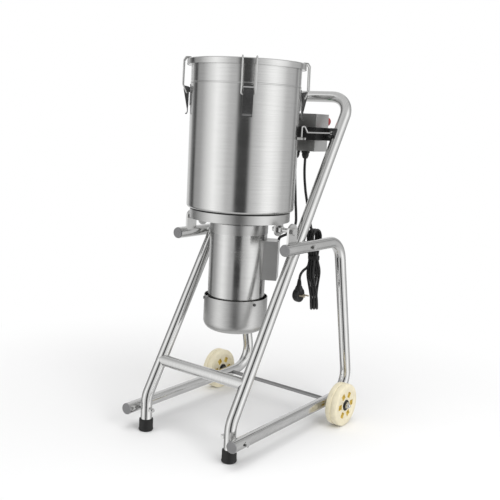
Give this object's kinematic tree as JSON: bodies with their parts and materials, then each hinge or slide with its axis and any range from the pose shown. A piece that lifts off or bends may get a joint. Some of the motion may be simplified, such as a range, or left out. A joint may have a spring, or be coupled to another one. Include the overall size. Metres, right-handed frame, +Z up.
{
  "type": "tilting vertical food grinder",
  "caption": "Deep lidded barrel with blades on a direct-drive motor, tilting between two pivots on a wheeled tube trolley with a push handle.",
  "frame": {"origin": "on the floor, under the middle of the object's box without its mains cord", "axes": "+Z up, +Y towards the push handle and wheels, +X to the object's right seen from the feet side"},
  "size_m": [0.527, 0.5752, 1.0292],
  "materials": {
    "polished_steel": "polished",
    "satin_steel": "satin",
    "bright_fasteners": "bright",
    "blade_steel": "ground",
    "shaft_steel": "turned",
    "dark_steel": "black lacquer",
    "black_rubber": "matte",
    "black_plastic": "moulded",
    "cap_plastic": "moulded",
    "wheel_nylon": "moulded nylon",
    "silicone": "translucent white",
    "copper_winding": "varnished",
    "dark_screws": "blackened",
    "red_button": "gloss",
    "green_button": "gloss"
  },
  "bodies": {
    "trolley": {"handle_frame": "polished_steel", "front_crossbar": "polished_steel", "side_frame_right": "polished_steel", "side_frame_left": "polished_steel", "tube_caps": "cap_plastic", "rubber_feet": "black_rubber", "frame_bolts": "bright_fasteners", "frame_nuts": "bright_fasteners", "frame_spacers": "bright_fasteners", "axle": "bright_fasteners", "axle_nuts": "bright_fasteners", "pivot_lugs": "polished_steel", "pivot_bolts": "bright_fasteners", "pivot_nuts": "bright_fasteners", "control_box": "satin_steel", "control_cover": "satin_steel", "box_strap": "dark_steel", "cable_glands": "black_plastic", "hook_clamp": "black_plastic", "mains_cord": "black_rubber", "cord_hank": "black_rubber", "plug": "black_plastic", "motor_lead": "black_rubber"},
    "tilt_unit": {"support_ring": "satin_steel", "standoffs": "satin_steel", "barrel": "polished_steel", "seat_gasket": "black_rubber", "latch_bases": "polished_steel", "latch_pins": "bright_fasteners", "shaft_seal": "black_plastic", "motor_collar": "satin_steel", "motor_shell": "polished_steel", "stator": "copper_winding", "motor_bearings": "bright_fasteners", "fan_cover": "polished_steel", "cover_screws": "dark_screws", "terminal_box": "satin_steel", "terminal_cover": "satin_steel", "hook_catch": "polished_steel"},
    "rotor": {"rotor_shaft": "shaft_steel", "blade_set": "blade_steel", "blade_nut": "bright_fasteners", "cooling_fan": "black_plastic"},
    "right_wheel": {"wheel_right": "wheel_nylon", "hub_right": "black_plastic"},
    "left_wheel": {"wheel_left": "wheel_nylon", "hub_left": "black_plastic"},
    "lid_body": {"lid": "polished_steel", "lid_gasket": "silicone"},
    "lever_front_right_body": {"lever_front_right": "polished_steel"},
    "bail_front_right_body": {"bail_front_right": "bright_fasteners"},
    "lever_rear_right_body": {"lever_rear_right": "polished_steel"},
    "bail_rear_right_body": {"bail_rear_right": "bright_fasteners"},
    "lever_rear_left_body": {"lever_rear_left": "polished_steel"},
    "bail_rear_left_body": {"bail_rear_left": "bright_fasteners"},
    "lever_front_left_body": {"lever_front_left": "polished_steel"},
    "bail_front_left_body": {"bail_front_left": "bright_fasteners"},
    "stop_body": {"stop_button": "red_button"},
    "start_body": {"start_button": "green_button"},
    "hook_body": {"lock_hook": "bright_fasteners"}
  },
  "joints": [
    {"name": "tilt", "type": "hinge", "parent": "trolley", "child": "tilt_unit", "pos_m": [0, -0.054, 0.588], "axis": [1, 0, 0], "range_deg": [0, 100], "deforming": ["motor_lead"]},
    {"name": "rotor_spin", "type": "hinge", "parent": "tilt_unit", "child": "rotor", "pos_m": [0, -0.054, 0.65], "axis": [0, 0, 1], "continuous": true},
    {"name": "right_wheel_spin", "type": "hinge", "parent": "trolley", "child": "right_wheel", "pos_m": [0.232, 0.177, 0.0625], "axis": [1, 0, 0], "continuous": true},
    {"name": "left_wheel_spin", "type": "hinge", "parent": "trolley", "child": "left_wheel", "pos_m": [-0.232, 0.177, 0.0625], "axis": [1, 0, 0], "continuous": true},
    {"name": "lid_lift", "type": "slide", "parent": "tilt_unit", "child": "lid_body", "axis": [0, 0, 1], "range_m": [0, 0.02]},
    {"name": "lever_front_right_open", "type": "hinge", "parent": "tilt_unit", "child": "lever_front_right_body", "pos_m": [0.09986, -0.17515, 0.946], "axis": [-0.7716, -0.6361, 0], "range_deg": [0, 60]},
    {"name": "bail_front_right_swing", "type": "hinge", "parent": "lever_front_right_body", "child": "bail_front_right_body", "pos_m": [0.1005, -0.17592, 0.934], "axis": [0.7716, 0.6361, 0], "range_deg": [0, 150]},
    {"name": "lever_rear_right_open", "type": "hinge", "parent": "tilt_unit", "child": "lever_rear_right_body", "pos_m": [0.12115, 0.04586, 0.946], "axis": [0.6361, -0.7716, 0], "range_deg": [0, 60]},
    {"name": "bail_rear_right_swing", "type": "hinge", "parent": "lever_rear_right_body", "child": "bail_rear_right_body", "pos_m": [0.12192, 0.0465, 0.934], "axis": [-0.6361, 0.7716, 0], "range_deg": [0, 150]},
    {"name": "lever_rear_left_open", "type": "hinge", "parent": "tilt_unit", "child": "lever_rear_left_body", "pos_m": [-0.09986, 0.06715, 0.946], "axis": [0.7716, 0.6361, 0], "range_deg": [0, 60]},
    {"name": "bail_rear_left_swing", "type": "hinge", "parent": "lever_rear_left_body", "child": "bail_rear_left_body", "pos_m": [-0.1005, 0.06792, 0.934], "axis": [-0.7716, -0.6361, 0], "range_deg": [0, 150]},
    {"name": "lever_front_left_open", "type": "hinge", "parent": "tilt_unit", "child": "lever_front_left_body", "pos_m": [-0.12115, -0.15386, 0.946], "axis": [-0.6361, 0.7716, 0], "range_deg": [0, 60]},
    {"name": "bail_front_left_swing", "type": "hinge", "parent": "lever_front_left_body", "child": "bail_front_left_body", "pos_m": [-0.12192, -0.1545, 0.934], "axis": [0.6361, -0.7716, 0], "range_deg": [0, 150]},
    {"name": "stop_press", "type": "slide", "parent": "trolley", "child": "stop_body", "axis": [0, -1, 0], "range_m": [0, 0.004], "stiffness_N_per_m": 400, "springref_m": -0.002},
    {"name": "start_press", "type": "slide", "parent": "trolley", "child": "start_body", "axis": [0, -1, 0], "range_m": [0, 0.004], "stiffness_N_per_m": 400, "springref_m": -0.002},
    {"name": "hook_lift", "type": "hinge", "parent": "trolley", "child": "hook_body", "pos_m": [0.145, 0.16461, 0.846], "axis": [1, 0, 0], "range_deg": [-100, 2.6]}
  ],
  "couplings": [
    {"joint": "lever_front_right_open", "follows": "lid_lift", "rad_per_m": 52.359},
    {"joint": "bail_front_right_swing", "follows": "lid_lift", "rad_per_m": 130.9},
    {"joint": "lever_rear_right_open", "follows": "lid_lift", "rad_per_m": 52.359},
    {"joint": "bail_rear_right_swing", "follows": "lid_lift", "rad_per_m": 130.9},
    {"joint": "lever_rear_left_open", "follows": "lid_lift", "rad_per_m": 52.359},
    {"joint": "bail_rear_left_swing", "follows": "lid_lift", "rad_per_m": 130.9},
    {"joint": "lever_front_left_open", "follows": "lid_lift", "rad_per_m": 52.359},
    {"joint": "bail_front_left_swing", "follows": "lid_lift", "rad_per_m": 130.9}
  ]
}
